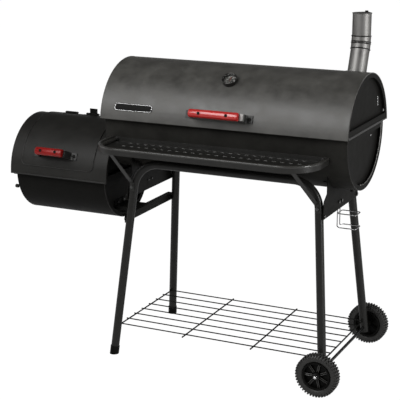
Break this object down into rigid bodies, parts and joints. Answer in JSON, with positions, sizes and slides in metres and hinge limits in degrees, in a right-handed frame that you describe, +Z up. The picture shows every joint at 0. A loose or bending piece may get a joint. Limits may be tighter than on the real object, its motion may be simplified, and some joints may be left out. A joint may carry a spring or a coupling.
{
  "type": "offset smoker",
  "caption": "Barrel smoker on a wheeled tube stand, with a lower side firebox, hinged lid and door, chimney, front shelf, bottom rack and draught dampers.",
  "frame": {"origin": "on the ground, under the middle of the whole object's footprint", "axes": "+X along the drum towards the chimney end, -Y towards the front shelf, +Z up"},
  "size_m": [1.2896, 0.6376, 1.1812],
  "materials": {
    "leg_paint": "satin black powder coat",
    "frame_paint": "satin black powder coat",
    "drum_paint": "satin black heat-proof paint",
    "lid_paint": "satin charcoal heat-proof paint",
    "stack_paint": "satin grey heat-proof paint",
    "hinge_steel": "dark satin",
    "bolt_zinc": "zinc plated",
    "bolt_black": "blackened",
    "grate_enamel": "black enamel",
    "wire_chrome": "bright plated",
    "rack_wire": "grey painted wire",
    "grip_wood": "red gloss paint on wood",
    "tyre_rubber": "matt rubber",
    "hub_plastic": "moulded",
    "plate_enamel": "black with a bright border",
    "case_steel": "dark bezel",
    "dial_enamel": "grey enamel",
    "needle_paint": "red",
    "lens_glass": "clear"
  },
  "bodies": {
    "root": {"front_leg_frame": "leg_paint", "rear_leg_frame": "leg_paint", "foot_caps": "hub_plastic", "main_body": "drum_paint", "drain_spout": "drum_paint", "body_end_left": "drum_paint", "body_end_right": "drum_paint", "grate_rails": "grate_enamel", "cooking_grate_left": "grate_enamel", "cooking_grate_middle": "grate_enamel", "cooking_grate_right": "grate_enamel", "firebox_grate": "grate_enamel", "firebox_body": "drum_paint", "firebox_body_end_left": "drum_paint", "firebox_body_end_right": "drum_paint", "firebox_hood_end_left": "drum_paint", "firebox_hood_end_right": "drum_paint", "firebox_hood": "drum_paint", "smoke_duct": "drum_paint", "left_saddle_plate": "frame_paint", "right_saddle_plate": "frame_paint", "firebox_bracket": "frame_paint", "front_shelf": "drum_paint", "left_shelf_brace": "frame_paint", "right_shelf_brace": "frame_paint", "bottom_rack": "rack_wire", "axle": "bolt_black", "axle_nuts": "bolt_zinc", "grease_cup_holder": "wire_chrome", "fixed_hinge_leaves": "hinge_steel", "hinge_pins": "hinge_steel", "frame_bolts": "bolt_zinc"},
    "lid": {"lid_shell": "lid_paint", "lid_end_left": "drum_paint", "lid_end_right": "drum_paint", "lid_hinge_leaves": "hinge_steel", "lid_handle_strap": "hinge_steel", "lid_grip": "grip_wood", "lid_screws": "bolt_black", "nameplate": "plate_enamel", "thermometer_case": "case_steel", "thermometer_dial": "dial_enamel", "thermometer_lens": "lens_glass", "stack_collar": "stack_paint", "stack_lower_pipe": "stack_paint", "stack_elbow": "stack_paint", "stack_upper_pipe": "stack_paint"},
    "stack_damper": {"stack_damper": "stack_paint"},
    "thermometer_needle": {"thermometer_needle": "needle_paint"},
    "door": {"door_panel": "drum_paint", "door_hinge_leaves": "hinge_steel", "door_handle_strap": "hinge_steel", "door_grip": "grip_wood", "door_screws": "bolt_black"},
    "air_damper": {"air_damper": "drum_paint"},
    "front_wheel": {"front_tyre": "tyre_rubber", "front_hub": "hub_plastic"},
    "rear_wheel": {"rear_tyre": "tyre_rubber", "rear_hub": "hub_plastic"}
  },
  "joints": [
    {"name": "lid_hinge", "type": "hinge", "parent": "root", "child": "lid", "pos_m": [0.19703, 0.23772, 0.824], "axis": [-1, 0, 0], "range_deg": [0, 95]},
    {"name": "firebox_door_hinge", "type": "hinge", "parent": "root", "child": "door", "pos_m": [-0.42297, 0.08107, 0.7771], "axis": [-1, 0, 0], "range_deg": [0, 100]},
    {"name": "air_damper_turn", "type": "hinge", "parent": "root", "child": "air_damper", "pos_m": [-0.59297, -0.05277, 0.529], "axis": [-1, 0, 0], "range_deg": [0, 60]},
    {"name": "stack_damper_swing", "type": "hinge", "parent": "lid", "child": "stack_damper", "pos_m": [0.56521, 0.17612, 1.17554], "axis": [0, 0, 1], "range_deg": [0, 110]},
    {"name": "thermometer_pointer", "type": "hinge", "parent": "lid", "child": "thermometer_needle", "pos_m": [0.20203, -0.08809, 0.96323], "axis": [0, -0.5878, 0.809], "range_deg": [-130, 130], "stiffness_Nm_per_rad": 0.0005},
    {"name": "front_wheel_roll", "type": "hinge", "parent": "root", "child": "front_wheel", "pos_m": [0.57377, -0.203, 0.071], "axis": [0, 1, 0], "continuous": true},
    {"name": "rear_wheel_roll", "type": "hinge", "parent": "root", "child": "rear_wheel", "pos_m": [0.57377, 0.26547, 0.071], "axis": [0, 1, 0], "continuous": true}
  ]
}
